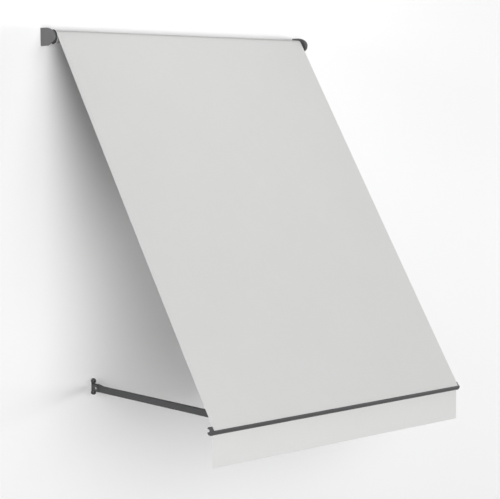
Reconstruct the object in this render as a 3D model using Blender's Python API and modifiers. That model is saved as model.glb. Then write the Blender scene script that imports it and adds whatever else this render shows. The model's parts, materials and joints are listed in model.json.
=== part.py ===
"""Drop-arm window awning with a fabric cover, in metres, +Z up.

The origin is at mid width, on the wall plane, at the height of the roller's axis.
The front faces -Y. Outlines are drawn in (out, z): out is the distance from the wall.
The awning is shown fully out, with both arms level.
"""

import math

import bmesh
import bpy
from mathutils import Matrix, Vector

NAME = "fabric_awning"

# Gap kept between pieces that touch, and play round a turning pin
TOUCH = 0.0003
SMOOTH_ANGLE = math.radians(35)
WELD = 0.000002

# How far a joined piece reaches into its neighbour, and a cutter runs past what it cuts
BITE = 0.002
OVERRUN = 0.001
LONG_OVERRUN = 0.03

# Cloth
CLOTH_WIDTH = 1.800
CLOTH_THICKNESS = 0.0006

# Roller: a grooved tube with the last turns of cloth on it
ROLLER_OUT = 0.076
TUBE_RADIUS = 0.031
TUBE_WALL = 0.0016
TUBE_OVERHANG = 0.006
ROLL_TURNS = 2.5
ROLL_PITCH = 0.0009
ROLL_STEPS_PER_TURN = 48
GROOVE_POCKET_RADIUS = 0.0026
GROOVE_LIP = 0.0014
GROOVE_SLOT_HALF = 0.0009
GROOVE_LEAD_DEG = 4.0

# End brackets: a D-shaped cheek with a flange on the wall
CHEEK_GAP = 0.027
CHEEK_THICKNESS = 0.005
CHEEK_HALF_HEIGHT = 0.048
CHEEK_DEPTH = 0.133
CHEEK_FLAT_TOP = 0.045
CHEEK_NOSE_RADIUS = 0.034
CHEEK_NOSE_END_DEG = -68.0
CHEEK_FLAT_BOTTOM = 0.068
CHEEK_NOSE_RISE = 0.002
CHEEK_EDGE = 0.0012
FLANGE_WIDTH = 0.055
FLANGE_THICKNESS = 0.005
FLANGE_TOP = 0.036
FLANGE_BOTTOM = -0.040
FLANGE_HOLE_RADIUS = 0.0042
FLANGE_HOLE_SPACING = 0.044
FLANGE_HOLE_FROM_EDGE = 0.015
GUSSET_REACH = 0.026
GUSSET_THICKNESS = 0.004
GUSSET_HEIGHT = 0.030

# Motor inside the tube, and the idler at the other end
MOTOR_RADIUS = 0.020
MOTOR_LENGTH = 0.450
MOTOR_SHAFT_RADIUS = 0.006
MOTOR_SHAFT_LENGTH = 0.020
MOTOR_HEAD_RADIUS = 0.024
MOTOR_HEAD_PLATE = 0.052
MOTOR_HEAD_PLATE_THICKNESS = 0.005
MOTOR_HEAD_PLATE_CORNER = 0.010
GLAND_RADIUS = 0.0045
GLAND_LENGTH = 0.012
CROWN_WIDTH = 0.018
IDLER_PLUG = 0.060
IDLER_FLANGE = 0.003
IDLER_PIN_RADIUS = 0.006
BUSH_RADIUS = 0.013
BUSH_LENGTH = 0.013

# Arms and their pivots
ARM_INSET = 0.2927
ARM_PIVOT_OUT = 0.045
ARM_PIVOT_DROP = 1.935
ARM_LENGTH = 1.2687
ARM_HEIGHT = 0.035
ARM_WIDTH = 0.022
ARM_WALL = 0.002
ARM_CORNER = 0.0025
ARM_SINK = 0.0036
PIN_RADIUS = 0.004
PIN_HEAD_RADIUS = 0.0065
PIN_HEAD = 0.0022

# Wall hinge: a plate with a raised eye above and below, and two lugs
EYE_RADIUS = 0.0155
EYE_HOLE_RADIUS = 0.005
EYE_SPACING = 0.0622
EYE_MIDDLE_RISE = 0.0027
WEB_HALF_WIDTH = 0.012
WEB_FILLET = 0.010
HINGE_PLATE = 0.005
EYE_BOSS = 0.010
EYE_BOSS_RADIUS = 0.0145
LUG_RADIUS = 0.019
LUG_THICKNESS = 0.004
LUG_ROOT_RISE = 0.018
LUG_ROOT_DROP = 0.014
LUG_SHOULDER_DEG = 100.0

# Knuckle at the wall end of an arm, a casting with a spigot in the tube
KNUCKLE_RADIUS = 0.0215
KNUCKLE_WIDTH = 0.016
KNUCKLE_SHOULDER = 0.044
KNUCKLE_END = 0.058
KNUCKLE_SPIGOT = 0.110

# Fork at the front end of an arm
FORK_RADIUS = 0.014
FORK_SHOULDER = 0.030
FORK_END = 0.048
FORK_SPIGOT = 0.050
FORK_THROAT = 0.014
TONGUE_WIDTH = 0.0114
TONGUE_RADIUS = 0.012
TONGUE_FOOT_DEG = -85.0

# Front bar, drawn from the point where the cloth enters it, back towards the wall
BAR_AHEAD = 0.068
BAR_RISE = 0.008
BAR_DEPTH = 0.043
BAR_NOSE_RADIUS = 0.022
BAR_NOSE_BACK = 0.016
BAR_NOSE_DROP = 0.0015
BAR_NOSE_FOOT_DEG = -84.0
BAR_WALL = 0.002
BAR_TOP = 0.0205
BAR_TOP_FILLET = 0.0015
BAR_FILLET = 0.003
BAR_REAR_FILLET = 0.001
BAR_SHOULDER_BACK = 0.037
BAR_SHOULDER_TOP = 0.014
BAR_REAR_TOP = 0.008
BAR_REAR_BOTTOM = -0.018
BAR_HEEL_BACK = 0.0365
BAR_HEEL_BOTTOM = -0.0245
BAR_BELLY_BACK = 0.0235
BAR_BELLY_BOTTOM = -0.0255
LIP_RISE = 0.0015
LIP_STEP = 0.001
CHANNEL_FRONT = 0.0195
CHANNEL_TOP = 0.0165
CHANNEL_LIP = 0.0045
CHAMBER_FRONT = 0.0046
CHAMBER_KNEE = 0.0005
CHAMBER_TOP = 0.015
CHAMBER_BOTTOM = -0.0135
CHAMBER_CHAMFER = 0.0045
MOUTH_TOP = 0.0055
MOUTH_BOTTOM = -0.011
CLOTH_SLOT_HALF = 0.0009
CLOTH_SLOT_REACH = 0.012
BAR_KEDER_RADIUS = 0.0021
BAR_KEDER_BITE = 0.00006
BAR_KEDER_DOWN = 0.0040
VALANCE_BACK = 0.014
VALANCE_KEDER_RADIUS = 0.0022
VALANCE_KEDER_DROP = 0.0186
VALANCE_BOTTOM = -0.185
VALANCE_HEM = 0.014
END_CAP_THICKNESS = 0.0057
END_CAP_PROUD = 0.0008
END_CAP_EDGE = 0.0006
END_CAP_SPIGOT = 0.014

# The notch in an end cap's back, drawn in from the bar's rear face
NOTCH_WAIST = 0.010
NOTCH_DEPTH = 0.016
NOTCH_TOP = 0.0032
NOTCH_MIDDLE = -0.003
NOTCH_BOTTOM = -0.0095
NOTCH_FILLET = 0.002

# Slide blocks in the bar's channel
BLOCK_LENGTH = 0.070
BLOCK_DEPTH = 0.0085
BLOCK_OVERLAP = 0.0035
NECK_LENGTH = 0.0055
CLAMP_OFFSET = 0.022
CLAMP_RADIUS = 0.0026
CLAMP_HEAD_RADIUS = 0.0045
CLAMP_HEAD = 0.004
CLAMP_SOCKET_RADIUS = 0.0022
CLAMP_SOCKET_DEPTH = 0.0022

# Screws that hold the tube on the knuckle and on the fork, from below
SCREW_RADIUS = 0.0025
SCREW_HEAD_RADIUS = 0.0044
SCREW_HEAD = 0.0022
SCREW_HEAD_TAPER = 0.0009
SCREW_GRIP = 0.0065
SCREW_BORE_SPARE = 0.003
SCREW_SPACING = 0.060

# Places that follow from the sizes above
CLOTH_EDGE = CLOTH_WIDTH / 2
CHEEK_INNER = CLOTH_EDGE + CHEEK_GAP
CHEEK_OUTER = CHEEK_INNER + CHEEK_THICKNESS
TUBE_END = CLOTH_EDGE + TUBE_OVERHANG
TUBE_INNER = TUBE_RADIUS - TUBE_WALL
PLUG_RADIUS = TUBE_INNER - TOUCH
GROOVE_CENTRE = TUBE_RADIUS - GROOVE_LIP - GROOVE_POCKET_RADIUS
GROOVE_BULGE_RADIUS = GROOVE_POCKET_RADIUS + GROOVE_LIP
ROLL_INNER = TUBE_RADIUS + TOUCH
WRAP_RADIUS = ROLL_INNER + ROLL_PITCH * ROLL_TURNS + CLOTH_THICKNESS / 2
ARM_X = CLOTH_EDGE - ARM_INSET
FRONT_PIVOT_OUT = ARM_PIVOT_OUT + ARM_LENGTH
PIVOT_Z = -ARM_PIVOT_DROP
ENTRY_OUT = FRONT_PIVOT_OUT + BAR_AHEAD
ENTRY_Z = PIVOT_Z + BAR_RISE
SIDES = {"left": -1, "right": 1}

# The cloth runs from the roll's tangent point to the bar: its slope follows from both ends
ENTRY_DISTANCE = math.hypot(ENTRY_OUT - ROLLER_OUT, ENTRY_Z)
LEAVE_ANGLE = math.atan2(ENTRY_Z, ENTRY_OUT - ROLLER_OUT) + math.acos(WRAP_RADIUS / ENTRY_DISTANCE)
CLOTH_NORMAL = Vector((math.cos(LEAVE_ANGLE), math.sin(LEAVE_ANGLE)))
CLOTH_DOWN = Vector((math.sin(LEAVE_ANGLE), -math.cos(LEAVE_ANGLE)))
ENTRY = Vector((ENTRY_OUT, ENTRY_Z))
CLOTH_LEAN = -CLOTH_DOWN.x / CLOTH_DOWN.y
LEAVE = Vector((ROLLER_OUT, 0.0)) + CLOTH_NORMAL * WRAP_RADIUS
GROOVE_ANGLE = LEAVE_ANGLE + math.tau * ROLL_TURNS + math.radians(GROOVE_LEAD_DEG)


def clear_scene():
    """Remove whatever the scene holds."""
    for thing in list(bpy.data.objects):
        bpy.data.objects.remove(thing, do_unlink=True)


def new_collection(name):
    """Make a collection in the scene."""
    made = bpy.data.collections.new(name)
    bpy.context.scene.collection.children.link(made)
    return made


clear_scene()
PARTS = new_collection(NAME)
CUTTERS = new_collection("cutters")


def arc(centre, radius, start_deg, end_deg, steps):
    """Points along an arc, both ends included."""
    points = []
    for step in range(steps + 1):
        angle = math.radians(start_deg + (end_deg - start_deg) * step / steps)
        points.append((centre[0] + radius * math.cos(angle), centre[1] + radius * math.sin(angle)))
    return points


def circle(centre, radius, sides):
    """A closed ring of points."""
    return arc(centre, radius, 0.0, 360.0, sides)[:-1]


def filleted(corners, steps=4):
    """A closed outline through corners given as (u, v, fillet radius)."""
    points = []
    for index, (u, v, radius) in enumerate(corners):
        here = Vector((u, v))
        if radius <= 0:
            points.append((u, v))
            continue
        before = (Vector(corners[index - 1][:2]) - here).normalized()
        after = (Vector(corners[(index + 1) % len(corners)][:2]) - here).normalized()
        half = before.angle(after) / 2
        middle = here + (before + after).normalized() * (radius / math.sin(half))
        first = here + before * (radius / math.tan(half)) - middle
        last = here + after * (radius / math.tan(half)) - middle
        start = math.atan2(first.y, first.x)
        sweep = (math.atan2(last.y, last.x) - start + math.pi) % math.tau - math.pi
        for step in range(steps + 1):
            angle = start + sweep * step / steps
            points.append((middle.x + radius * math.cos(angle), middle.y + radius * math.sin(angle)))
    return points


def inset(corners, distance):
    """A convex outline with each side moved in by a distance."""
    points = []
    for index, corner in enumerate(corners):
        here = Vector(corner)
        before = (Vector(corners[index - 1]) - here).normalized()
        after = (Vector(corners[(index + 1) % len(corners)]) - here).normalized()
        reach = distance / math.sin(before.angle(after) / 2)
        points.append(tuple(here + (before + after).normalized() * reach))
    return points


def rectangle(u_low, u_high, v_low, v_high, radius=0.0, steps=3):
    """A rectangle, with rounded corners if a radius is given."""
    corners = [(u_low, v_low), (u_high, v_low), (u_high, v_high), (u_low, v_high)]
    return filleted([(u, v, radius) for u, v in corners], steps)


def push_frame(axis, middle):
    """Where an outline lies: X takes (out, z), OUT takes (x, z) and Z takes (x, out)."""
    columns = {
        "X": ((0, -1, 0), (0, 0, 1), (-1, 0, 0)),
        "OUT": ((1, 0, 0), (0, 0, 1), (0, -1, 0)),
        "Z": ((1, 0, 0), (0, -1, 0), (0, 0, -1)),
    }[axis]
    frame = Matrix(columns).transposed().to_4x4()
    place = {"X": (middle, 0, 0), "OUT": (0, -middle, 0), "Z": (0, 0, middle)}[axis]
    return Matrix.Translation(place) @ frame


def prism(name, axis, outline, low, high, holes=(), edge=0.0):
    """A flat outline pushed along an axis from low to high, with eased edges if asked, as a closed mesh."""
    curve = bpy.data.curves.new(name, "CURVE")
    curve.dimensions = "2D"
    curve.fill_mode = "BOTH"
    curve.extrude = abs(high - low) / 2 - edge
    curve.bevel_depth = edge
    curve.bevel_resolution = 1
    curve.offset = -edge
    for loop in (outline, *holes):
        spline = curve.splines.new("POLY")
        spline.points.add(len(loop) - 1)
        for point, (u, v) in zip(spline.points, loop):
            point.co = (u, v, 0.0, 1.0)
        spline.use_cyclic_u = True
    drawn = bpy.data.objects.new(name, curve)
    drawn.matrix_world = push_frame(axis, (low + high) / 2)
    PARTS.objects.link(drawn)
    return as_mesh(drawn)


def as_mesh(drawn):
    """Replace a curve object by its welded mesh, in the same place."""
    name = drawn.name
    evaluated = drawn.evaluated_get(bpy.context.evaluated_depsgraph_get())
    mesh = bpy.data.meshes.new_from_object(evaluated)
    edit = bmesh.new()
    edit.from_mesh(mesh)
    bmesh.ops.remove_doubles(edit, verts=edit.verts, dist=WELD)
    bmesh.ops.recalc_face_normals(edit, faces=edit.faces)
    edit.to_mesh(mesh)
    edit.free()
    solid = bpy.data.objects.new(name, mesh)
    solid.matrix_world = drawn.matrix_world
    bpy.data.objects.remove(drawn, do_unlink=True)
    PARTS.objects.link(solid)
    solid.name = name
    return solid


def turned(name, axis, profile, place, sides=24, closed=False):
    """A profile of (radius, height), outer side from top to bottom, turned about an axis."""
    mesh = bpy.data.meshes.new(name)
    count = len(profile)
    edges = [(index, index + 1) for index in range(count - 1)]
    if closed:
        edges.append((count - 1, 0))
    mesh.from_pydata([(radius, 0.0, height) for radius, height in profile], edges, [])
    solid = bpy.data.objects.new(name, mesh)
    turn = {
        "X": Matrix.Rotation(math.pi / 2, 4, "Y"),
        "OUT": Matrix.Rotation(math.pi / 2, 4, "X"),
        "Z": Matrix.Identity(4),
    }[axis]
    solid.matrix_world = Matrix.Translation(place) @ turn
    screw = solid.modifiers.new("Turn", "SCREW")
    screw.steps = sides
    screw.render_steps = sides
    screw.use_merge_vertices = True
    screw.merge_threshold = WELD
    screw.use_smooth_shade = False
    PARTS.objects.link(solid)
    return solid


def rod(name, axis, radius, low, high, place=(0.0, 0.0, 0.0), sides=24):
    """A plain round bar from low to high along an axis through a place."""
    profile = [(0.0, high), (radius, high), (radius, low), (0.0, low)]
    return turned(name, axis, profile, place, sides)


def combine(body, tool, operation):
    """Cut a tool from a body, or join it, with a modifier that stays live."""
    change = body.modifiers.new(tool.name, "BOOLEAN")
    change.operation = operation
    change.solver = "EXACT"
    change.object = tool
    PARTS.objects.unlink(tool)
    CUTTERS.objects.link(tool)
    tool.hide_render = True
    tool.display_type = "WIRE"


def cut(body, *tools):
    """Cut tools out of a body."""
    for tool in tools:
        combine(body, tool, "DIFFERENCE")


def join(body, *tools):
    """Join tools to a body."""
    for tool in tools:
        combine(body, tool, "UNION")


def ease(body, width, segments=2):
    """Round a body's sharp edges."""
    bevel = body.modifiers.new("Edges", "BEVEL")
    bevel.width = width
    bevel.segments = segments
    bevel.limit_method = "ANGLE"
    bevel.angle_limit = SMOOTH_ANGLE
    bevel.use_clamp_overlap = False


def finish(body, look, carrier=None):
    """Give a piece its own material and hang it on the empty that carries it."""
    colour, roughness, metallic = LOOKS[look]
    material = bpy.data.materials.new(body.name)
    material.use_nodes = True
    shader = material.node_tree.nodes["Principled BSDF"]
    shader.inputs["Base Color"].default_value = (*colour, 1.0)
    shader.inputs["Roughness"].default_value = roughness
    shader.inputs["Metallic"].default_value = metallic
    body.data.materials.clear()
    body.data.materials.append(material)
    body.data.shade_smooth()
    body.data.set_sharp_from_angle(angle=SMOOTH_ANGLE)
    if carrier is not None:
        body.parent = carrier
        body.matrix_parent_inverse = carrier.matrix_world.inverted()
    return body


LOOKS = {
    "grey_coat": ((0.095, 0.095, 0.098), 0.55, 0.0),
    "bracket_coat": ((0.17, 0.17, 0.173), 0.55, 0.0),
    "cloth": ((0.70, 0.70, 0.70), 0.85, 0.0),
    "zinc": ((0.55, 0.55, 0.56), 0.35, 1.0),
    "mill_aluminium": ((0.72, 0.72, 0.73), 0.40, 1.0),
    "dark_plastic": ((0.05, 0.05, 0.052), 0.50, 0.0),
    "keder": ((0.60, 0.60, 0.60), 0.45, 0.0),
}


def joint_empty(name, place, carrier=None):
    """An empty on a joint's axis, which carries the pieces that turn about it."""
    empty = bpy.data.objects.new(name, None)
    empty.empty_display_size = 0.05
    PARTS.objects.link(empty)
    empty.location = place
    bpy.context.view_layer.update()
    if carrier is not None:
        empty.parent = carrier
        empty.matrix_parent_inverse = carrier.matrix_world.inverted()
        bpy.context.view_layer.update()
    return empty


def x_span(side, near, far):
    """Low and high X of a piece that lies between two distances from the middle plane."""
    return sorted((side * near, side * far))


def cheek_outline():
    """The D of an end bracket: flat top, elliptic brow, round nose and a sloping chin."""
    brow = []
    brow_steps = 10
    for step in range(brow_steps + 1):
        angle = math.radians(90.0 * (1 - step / brow_steps))
        out = CHEEK_FLAT_TOP + (CHEEK_DEPTH - CHEEK_FLAT_TOP) * math.cos(angle)
        height = CHEEK_NOSE_RISE + (CHEEK_HALF_HEIGHT - CHEEK_NOSE_RISE) * math.sin(angle)
        brow.append((out, height))
    nose_centre = (CHEEK_DEPTH - CHEEK_NOSE_RADIUS, CHEEK_NOSE_RISE)
    nose = arc(nose_centre, CHEEK_NOSE_RADIUS, 0.0, CHEEK_NOSE_END_DEG, 6)[1:]
    bottom = [(CHEEK_FLAT_BOTTOM, -CHEEK_HALF_HEIGHT), (0.0, -CHEEK_HALF_HEIGHT)]
    return [(0.0, CHEEK_HALF_HEIGHT), *brow, *nose, *bottom]


def plate_hole(name, radius, thickness, place):
    """Cutter for a screw hole through a plate on the wall."""
    return rod(name, "OUT", radius, -thickness - OVERRUN, thickness + OVERRUN, place)


def end_bracket(label, side):
    """Cheek, wall flange and two gussets, cast as one piece."""
    body = prism(f"{label}_bracket", "X", cheek_outline(), *x_span(side, CHEEK_INNER, CHEEK_OUTER))
    ease(body, CHEEK_EDGE)
    bite = CHEEK_INNER + CHEEK_THICKNESS / 2
    flange_inner = CHEEK_OUTER - FLANGE_WIDTH
    flange_x = x_span(side, flange_inner, bite)
    flange_outline = rectangle(*flange_x, FLANGE_BOTTOM, FLANGE_TOP)
    flange = prism(f"{label}_flange", "OUT", flange_outline, 0.0, FLANGE_THICKNESS)
    join(body, flange)
    for level in (-GUSSET_HEIGHT, GUSSET_HEIGHT - GUSSET_THICKNESS):
        near = side * bite
        far = side * (CHEEK_INNER - GUSSET_REACH)
        root = FLANGE_THICKNESS / 2
        outline = [(near, root), (far, root), (far, FLANGE_THICKNESS), (near, FLANGE_THICKNESS + GUSSET_REACH)]
        join(body, prism(f"{label}_gusset", "Z", outline, level, level + GUSSET_THICKNESS))
    hole_x = side * (flange_inner + FLANGE_HOLE_FROM_EDGE)
    for direction in (-1, 1):
        place = (hole_x, 0.0, direction * FLANGE_HOLE_SPACING / 2 + (FLANGE_TOP + FLANGE_BOTTOM) / 2)
        cut(body, plate_hole(f"{label}_flange_hole", FLANGE_HOLE_RADIUS, FLANGE_THICKNESS, place))
    return finish(body, "bracket_coat")


def roller_point(radius, angle, offset=(0.0, 0.0)):
    """A point round the roller's axis, with an optional offset in the turned (radial, along) frame."""
    along = Vector((-math.sin(angle), math.cos(angle)))
    radial = Vector((math.cos(angle), math.sin(angle)))
    point = Vector((ROLLER_OUT, 0.0)) + radial * (radius + offset[0]) + along * offset[1]
    return (point.x, point.y)


def roller_tube(carrier):
    """Aluminium tube with a keyhole groove that holds the cloth's keder."""
    slot_deg = math.degrees(math.asin(GROOVE_SLOT_HALF / TUBE_RADIUS))
    groove_deg = math.degrees(GROOVE_ANGLE)
    centre = (ROLLER_OUT, 0.0)
    outer = arc(centre, TUBE_RADIUS, groove_deg + slot_deg, groove_deg + 360.0 - slot_deg, 56)
    mouth = math.asin(GROOVE_SLOT_HALF / GROOVE_POCKET_RADIUS)
    pocket_steps = 12
    for step in range(pocket_steps + 1):
        turn = -mouth - (math.tau - 2 * mouth) * step / pocket_steps
        reach = GROOVE_POCKET_RADIUS
        outer.append(roller_point(GROOVE_CENTRE, GROOVE_ANGLE, (reach * math.cos(turn), reach * math.sin(turn))))
    meet = (TUBE_INNER**2 + GROOVE_CENTRE**2 - GROOVE_BULGE_RADIUS**2) / (2 * TUBE_INNER * GROOVE_CENTRE)
    spread = math.acos(meet)
    spread_deg = math.degrees(spread)
    inner = arc(centre, TUBE_INNER, groove_deg + spread_deg, groove_deg + 360.0 - spread_deg, 48)
    first = math.atan2(-TUBE_INNER * math.sin(spread), TUBE_INNER * meet - GROOVE_CENTRE)
    bulge_steps = 10
    for step in range(1, bulge_steps):
        turn = first - (math.tau + 2 * first) * step / bulge_steps
        reach = GROOVE_BULGE_RADIUS
        inner.append(roller_point(GROOVE_CENTRE, GROOVE_ANGLE, (reach * math.cos(turn), reach * math.sin(turn))))
    body = prism("roller_tube", "X", outer, -TUBE_END, TUBE_END, holes=[inner])
    return finish(body, "mill_aluminium", carrier)


def roller_keder(carrier):
    """The welt at the cloth's inner end, with its tail through the groove's slot."""
    centre = roller_point(GROOVE_CENTRE, GROOVE_ANGLE)
    body = prism("roller_keder", "X", circle(centre, GROOVE_POCKET_RADIUS - TOUCH, 14), -CLOTH_EDGE, CLOTH_EDGE)
    half = CLOTH_THICKNESS / 2
    end = ROLL_INNER + CLOTH_THICKNESS
    corners = ((GROOVE_CENTRE, -half), (end, -half), (end, half), (GROOVE_CENTRE, half))
    tail = [roller_point(0.0, GROOVE_ANGLE, corner) for corner in corners]
    join(body, prism("roller_keder_tail", "X", tail, -CLOTH_EDGE, CLOTH_EDGE))
    return finish(body, "keder", carrier)


def cloth_roll(carrier):
    """The turns left on the tube: one ribbon wound as a spiral, ending where the panel leaves."""
    steps = round(ROLL_TURNS * ROLL_STEPS_PER_TURN)
    lower = []
    upper = []
    for step in range(steps + 1):
        wound = math.tau * ROLL_TURNS * step / steps
        angle = LEAVE_ANGLE + math.tau * ROLL_TURNS - wound
        radius = ROLL_INNER + ROLL_PITCH * wound / math.tau
        lower.append(roller_point(radius, angle))
        upper.append(roller_point(radius + CLOTH_THICKNESS, angle))
    body = prism("cloth_roll", "X", lower + upper[::-1], -CLOTH_EDGE, CLOTH_EDGE)
    return finish(body, "cloth", carrier)


def groove_notch(name, low, high):
    """Clears the tube's inner bulge from a round plug."""
    centre = roller_point(GROOVE_CENTRE, GROOVE_ANGLE)
    return prism(name, "X", circle(centre, GROOVE_BULGE_RADIUS + TOUCH, 16), low, high)


def crown(name, low, high, bore, carrier):
    """A ring that carries the tube on the motor."""
    profile = [(PLUG_RADIUS, high), (PLUG_RADIUS, low), (bore, low), (bore, high)]
    body = turned(name, "X", profile, (0.0, -ROLLER_OUT, 0.0), 32, closed=True)
    cut(body, groove_notch(f"{name}_notch", low - OVERRUN, high + OVERRUN))
    return finish(body, "dark_plastic", carrier)


def tube_motor():
    """Motor body with its output shaft, inside the left end of the tube."""
    start = -(TUBE_END + TOUCH)
    end = start + MOTOR_LENGTH
    profile = [
        (0.0, end + MOTOR_SHAFT_LENGTH),
        (MOTOR_SHAFT_RADIUS, end + MOTOR_SHAFT_LENGTH),
        (MOTOR_SHAFT_RADIUS, end),
        (MOTOR_RADIUS, end),
        (MOTOR_RADIUS, start),
        (0.0, start),
    ]
    return finish(turned("tube_motor", "X", profile, (0.0, -ROLLER_OUT, 0.0), 32), "zinc")


def motor_head():
    """The motor's fixed head, with its plate on the cheek and a gland for the lead."""
    back = -(CHEEK_INNER - TOUCH)
    front = -(TUBE_END + 2 * TOUCH)
    place = (0.0, -ROLLER_OUT, 0.0)
    body = rod("motor_head", "X", MOTOR_HEAD_RADIUS, back, front, place, 32)
    half = MOTOR_HEAD_PLATE / 2
    plate_outline = rectangle(ROLLER_OUT - half, ROLLER_OUT + half, -half, half, MOTOR_HEAD_PLATE_CORNER, 4)
    join(body, prism("motor_plate", "X", plate_outline, back, back + MOTOR_HEAD_PLATE_THICKNESS))
    gland_x = (back + MOTOR_HEAD_PLATE_THICKNESS + front) / 2
    gland_back = MOTOR_HEAD_RADIUS + GLAND_LENGTH
    gland_low = -MOTOR_HEAD_RADIUS / 2
    gland = rod("motor_gland", "OUT", GLAND_RADIUS, -gland_back, gland_low, (gland_x, -ROLLER_OUT, 0.0), 16)
    join(body, gland)
    return finish(body, "dark_plastic")


def idler(carrier):
    """Plug, flange and pin at the free end of the tube."""
    inside = TUBE_END - IDLER_PLUG
    flange = TUBE_END + TOUCH
    pin = flange + IDLER_FLANGE
    end = CHEEK_INNER - 2 * TOUCH
    profile = [
        (0.0, end),
        (IDLER_PIN_RADIUS, end),
        (IDLER_PIN_RADIUS, pin),
        (TUBE_RADIUS, pin),
        (TUBE_RADIUS, flange),
        (PLUG_RADIUS, flange),
        (PLUG_RADIUS, inside),
        (0.0, inside),
    ]
    body = turned("idler_cap", "X", profile, (0.0, -ROLLER_OUT, 0.0), 32)
    cut(body, groove_notch("idler_notch", inside - OVERRUN, flange))
    return finish(body, "dark_plastic", carrier)


def idler_bush():
    """The plain bearing on the right cheek that the idler's pin turns in."""
    high = CHEEK_INNER - TOUCH
    low = high - BUSH_LENGTH
    bore = IDLER_PIN_RADIUS + TOUCH
    profile = [(BUSH_RADIUS, high), (BUSH_RADIUS, low), (bore, low), (bore, high)]
    return finish(turned("idler_bush", "X", profile, (0.0, -ROLLER_OUT, 0.0), 32, closed=True), "dark_plastic")


def cloth_panel():
    """The taut cover between the roll and the front bar."""
    half = CLOTH_NORMAL * CLOTH_THICKNESS / 2
    top = LEAVE + CLOTH_DOWN * TOUCH
    bottom = ENTRY - CLOTH_DOWN * TOUCH
    outline = [tuple(point) for point in (top - half, bottom - half, bottom + half, top + half)]
    return finish(prism("cloth_panel", "X", outline, -CLOTH_EDGE, CLOTH_EDGE), "cloth")


def eye_plate_outline(x_middle, z_middle):
    """Two round eyes joined by a narrower web, with fillets where they meet."""
    fillet_x = WEB_HALF_WIDTH + WEB_FILLET
    fillet_drop = math.sqrt((EYE_RADIUS + WEB_FILLET) ** 2 - fillet_x**2)
    fillet_z = EYE_SPACING / 2 - fillet_drop
    meet = math.degrees(math.atan2(-fillet_drop, fillet_x))
    half = arc((fillet_x, fillet_z), WEB_FILLET, 180.0, 180.0 + meet, 4)
    half += arc((0.0, EYE_SPACING / 2), EYE_RADIUS, meet, 180.0 - meet, 18)[1:-1]
    half += arc((-fillet_x, fillet_z), WEB_FILLET, -meet, 0.0, 4)
    whole = half + [(-u, -v) for u, v in half]
    return [(x_middle + u, z_middle + v) for u, v in whole]


def lug_outline():
    """A lug from the hinge plate to a round end at the pivot."""
    root = HINGE_PLATE / 2
    nose = arc((ARM_PIVOT_OUT, PIVOT_Z), LUG_RADIUS, LUG_SHOULDER_DEG, -LUG_SHOULDER_DEG, 14)
    return [(root, PIVOT_Z + LUG_ROOT_RISE), *nose, (root, PIVOT_Z - LUG_ROOT_DROP)]


def wall_hinge(label, side):
    """Plate with two raised eyes and two lugs, cast as one piece."""
    middle = side * ARM_X
    eyes_z = PIVOT_Z + EYE_MIDDLE_RISE
    body = prism(f"{label}_hinge_bracket", "OUT", eye_plate_outline(middle, eyes_z), 0.0, HINGE_PLATE)
    lug_inner = KNUCKLE_WIDTH / 2 + TOUCH
    for direction in (-1, 1):
        low, high = sorted((direction * lug_inner, direction * (lug_inner + LUG_THICKNESS)))
        join(body, prism(f"{label}_lug", "X", lug_outline(), middle + low, middle + high))
    for direction in (-1, 1):
        place = (middle, 0.0, eyes_z + direction * EYE_SPACING / 2)
        join(body, rod(f"{label}_eye_boss", "OUT", EYE_BOSS_RADIUS, HINGE_PLATE / 2, EYE_BOSS, place))
        cut(body, plate_hole(f"{label}_eye_hole", EYE_HOLE_RADIUS, EYE_BOSS, place))
    cut(body, pivot_bore(f"{label}_lug_bore", middle, ARM_PIVOT_OUT))
    return finish(body, "grey_coat")


def pivot_bore(name, middle, out):
    """Cutter for a pin's hole."""
    low, high = middle - LONG_OVERRUN, middle + LONG_OVERRUN
    return rod(name, "X", PIN_RADIUS + TOUCH, low, high, (0.0, -out, PIVOT_Z))


def pivot_pin(name, middle, out, half_grip, carrier):
    """A riveted pin with a flat head at each end."""
    grip = half_grip + TOUCH
    end = grip + PIN_HEAD
    profile = [
        (0.0, end),
        (PIN_HEAD_RADIUS, end),
        (PIN_HEAD_RADIUS, grip),
        (PIN_RADIUS, grip),
        (PIN_RADIUS, -grip),
        (PIN_HEAD_RADIUS, -grip),
        (PIN_HEAD_RADIUS, -end),
        (0.0, -end),
    ]
    return finish(turned(name, "X", profile, (middle, -out, PIVOT_Z)), "zinc", carrier)


def hub_outline(out, radius, shoulder, low, high, direction):
    """A round end at a pivot that widens or narrows to a shoulder along the arm."""
    nose = arc((out, PIVOT_Z), radius, 90.0, 270.0, 14)
    if direction < 0:
        nose = [(2 * out - u, v) for u, v in nose]
    edge = out + direction * shoulder
    return [*nose, (edge, low), (edge, high)]


def arm_levels(shrink=0.0):
    """Bottom and top of the arm tube, or of what fits inside it."""
    middle = PIVOT_Z - ARM_SINK
    return middle - ARM_HEIGHT / 2 + shrink, middle + ARM_HEIGHT / 2 - shrink


def arm_rectangle(middle, shrink, radius):
    """Section of the arm tube across its length, or of what fits inside it."""
    low, high = arm_levels(shrink)
    half = ARM_WIDTH / 2 - shrink
    return rectangle(middle - half, middle + half, low, high, radius)


def arm_screw_outs():
    """Where the screws stand along the arm: two in the knuckle's spigot and one in the fork's."""
    knuckle_middle = ARM_PIVOT_OUT + KNUCKLE_END + KNUCKLE_SPIGOT / 2
    fork_middle = FRONT_PIVOT_OUT - FORK_END - FORK_SPIGOT / 2
    half = SCREW_SPACING / 2
    return (knuckle_middle - half, knuckle_middle + half, fork_middle)


def screw_seat():
    """Height of the screws' heads under the arm."""
    return arm_levels()[0] - TOUCH


def screw_bores(name, middle, outs):
    """Cutters for the screws that come up from below."""
    low = screw_seat() - OVERRUN
    high = screw_seat() + SCREW_GRIP + SCREW_BORE_SPARE
    return [rod(name, "Z", SCREW_RADIUS + TOUCH, low, high, (middle, -out, 0.0), 16) for out in outs]


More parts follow.
